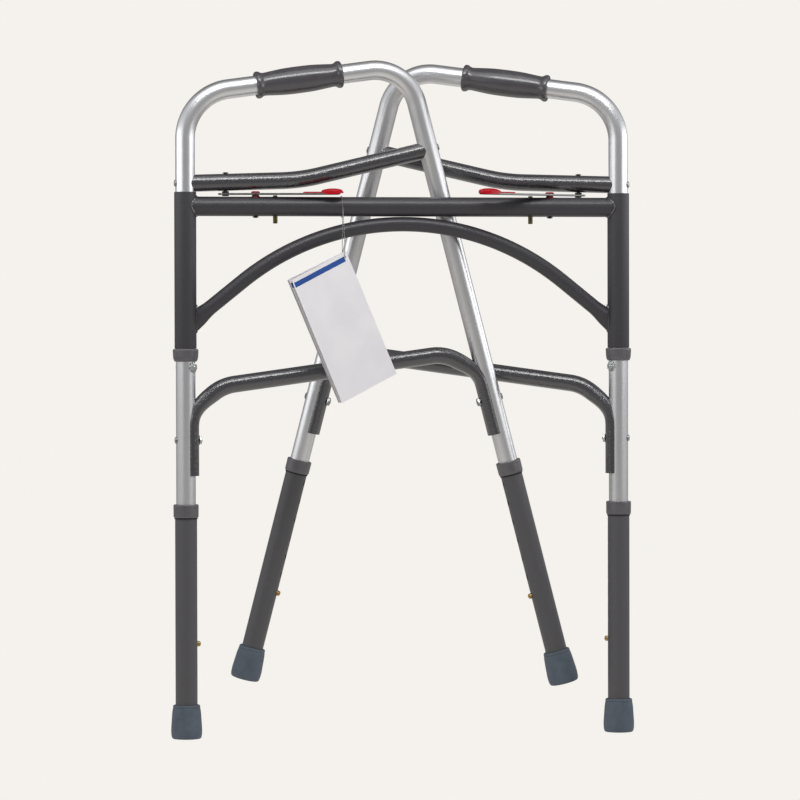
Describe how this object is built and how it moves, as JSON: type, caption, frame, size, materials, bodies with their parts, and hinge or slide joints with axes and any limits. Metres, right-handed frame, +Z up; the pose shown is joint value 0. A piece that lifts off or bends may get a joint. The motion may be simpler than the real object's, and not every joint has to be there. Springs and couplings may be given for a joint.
{
  "type": "bariatric walking frame",
  "caption": "Wide folding walking frame of bent tube, shown folded, with hand grips, arched front brace, height-adjustable legs and rubber feet.",
  "frame": {"origin": "on the floor, at the bottom centre of the part's bounds as folded", "axes": "+Z up along the front legs, +X along the cross tube to the right seen from the front, -Y towards the front"},
  "size_m": [0.6118, 0.2414, 0.8833],
  "materials": {
    "anodised_tube": "satin clear anodised aluminium tube",
    "powder_coat": "glossy dark grey powder coat with fine orange peel",
    "coated_extension": "satin dark grey coat with fine texture",
    "grey_plastic": "moulded mid grey plastic",
    "rubber_foot": "matt blue grey rubber",
    "vinyl_grip": "semi gloss moulded vinyl",
    "red_plastic": "glossy red moulded plastic",
    "brass": "plain brass",
    "zinc_steel": "zinc plated steel",
    "black_steel": "black steel rivet",
    "card": "coated white card booklet with grey page edges",
    "thread": "thin white thread"
  },
  "bodies": {
    "front_frame": {"cross_tube": "powder_coat", "arch_brace": "powder_coat", "left_sleeve": "powder_coat", "left_sleeve_collar": "grey_plastic", "left_spool_base": "red_plastic", "left_spool_rivet": "black_steel", "left_stop_pin": "brass", "right_sleeve": "powder_coat", "right_sleeve_collar": "grey_plastic", "right_spool_base": "red_plastic", "right_spool_rivet": "black_steel", "right_stop_pin": "brass"},
    "left_side": {"left_side_tube": "anodised_tube", "left_grip": "vinyl_grip", "left_upper_brace": "powder_coat", "left_lower_brace": "powder_coat", "left_upper_front_bolt": "zinc_steel", "left_upper_rear_bolt": "zinc_steel", "left_lower_front_bolt": "zinc_steel", "left_lower_rear_bolt": "zinc_steel", "left_lower_front_nut": "zinc_steel", "left_lower_rear_nut": "zinc_steel", "left_stop_bolt": "zinc_steel", "left_latch_stud": "black_steel"},
    "left_latch": {"left_latch_strip": "zinc_steel", "left_finger_pad": "red_plastic", "left_spool_cap": "red_plastic"},
    "left_front_leg_extension": {"left_front_extension": "coated_extension", "left_front_collar": "grey_plastic", "left_front_foot": "rubber_foot"},
    "left_front_snap_button": {"left_front_button": "brass"},
    "left_rear_leg_extension": {"left_rear_extension": "coated_extension", "left_rear_collar": "grey_plastic", "left_rear_foot": "rubber_foot"},
    "left_rear_snap_button": {"left_rear_button": "brass"},
    "right_side": {"right_side_tube": "anodised_tube", "right_grip": "vinyl_grip", "right_upper_brace": "powder_coat", "right_lower_brace": "powder_coat", "right_upper_front_bolt": "zinc_steel", "right_upper_rear_bolt": "zinc_steel", "right_lower_front_bolt": "zinc_steel", "right_lower_rear_bolt": "zinc_steel", "right_lower_front_nut": "zinc_steel", "right_lower_rear_nut": "zinc_steel", "right_stop_bolt": "zinc_steel", "right_latch_stud": "black_steel"},
    "right_latch": {"right_latch_strip": "zinc_steel", "right_finger_pad": "red_plastic", "right_spool_cap": "red_plastic"},
    "right_front_leg_extension": {"right_front_extension": "coated_extension", "right_front_collar": "grey_plastic", "right_front_foot": "rubber_foot"},
    "right_front_snap_button": {"right_front_button": "brass"},
    "right_rear_leg_extension": {"right_rear_extension": "coated_extension", "right_rear_collar": "grey_plastic", "right_rear_foot": "rubber_foot"},
    "right_rear_snap_button": {"right_rear_button": "brass"},
    "tag": {"hang_tag": "card", "tag_string": "thread"}
  },
  "joints": [
    {"name": "right_fold", "type": "hinge", "parent": "front_frame", "child": "right_side", "pos_m": [0.28575, -0.06767, 0], "axis": [0, 0, -1], "range_deg": [0, 70.6]},
    {"name": "left_fold", "type": "hinge", "parent": "front_frame", "child": "left_side", "pos_m": [-0.28575, -0.06767, 0], "axis": [0, 0, 1], "range_deg": [0, 85.4]},
    {"name": "left_latch_pivot", "type": "hinge", "parent": "left_side", "child": "left_latch", "pos_m": [-0.23282, -0.06342, 0], "axis": [0, 0, -1], "range_deg": [0, 72.9]},
    {"name": "right_latch_pivot", "type": "hinge", "parent": "right_side", "child": "right_latch", "pos_m": [0.23567, -0.05004, 0], "axis": [0, 0, 1], "range_deg": [0, 81.7]},
    {"name": "left_front_leg_slide", "type": "slide", "parent": "left_side", "child": "left_front_leg_extension", "axis": [0, 0, -1], "range_m": [0, 0.1524]},
    {"name": "left_front_button_press", "type": "slide", "parent": "left_side", "child": "left_front_snap_button", "axis": [-0.9968, -0.0802, 0], "range_m": [0, 0.0062], "stiffness_N_per_m": 1200, "springref_m": -0.001},
    {"name": "left_rear_leg_slide", "type": "slide", "parent": "left_side", "child": "left_rear_leg_extension", "axis": [0.2513, 0.0202, -0.9677], "range_m": [0, 0.1524]},
    {"name": "left_rear_button_press", "type": "slide", "parent": "left_side", "child": "left_rear_snap_button", "axis": [0.9646, 0.0776, 0.2521], "range_m": [0, 0.0062], "stiffness_N_per_m": 1200, "springref_m": -0.001},
    {"name": "right_front_leg_slide", "type": "slide", "parent": "right_side", "child": "right_front_leg_extension", "axis": [0, 0, -1], "range_m": [0, 0.1524]},
    {"name": "right_front_button_press", "type": "slide", "parent": "right_side", "child": "right_front_snap_button", "axis": [0.9432, -0.3322, 0], "range_m": [0, 0.0062], "stiffness_N_per_m": 1200, "springref_m": -0.001},
    {"name": "right_rear_leg_slide", "type": "slide", "parent": "right_side", "child": "right_rear_leg_extension", "axis": [-0.2378, 0.0837, -0.9677], "range_m": [0, 0.1524]},
    {"name": "right_rear_button_press", "type": "slide", "parent": "right_side", "child": "right_rear_snap_button", "axis": [-0.9128, 0.3214, 0.2521], "range_m": [0, 0.0062], "stiffness_N_per_m": 1200, "springref_m": -0.001},
    {"name": "tag_swing", "type": "hinge", "parent": "front_frame", "child": "tag", "pos_m": [-0.0814, -0.06767, 0.6912], "axis": [0, 1, 0], "range_deg": [-12, 12]}
  ],
  "couplings": [
    {"joint": "left_fold", "follows": "right_fold", "ratio": 0.5722},
    {"joint": "left_latch_pivot", "follows": "right_fold", "ratio": 0.9755},
    {"joint": "right_latch_pivot", "follows": "right_fold", "ratio": 1.1006}
  ]
}
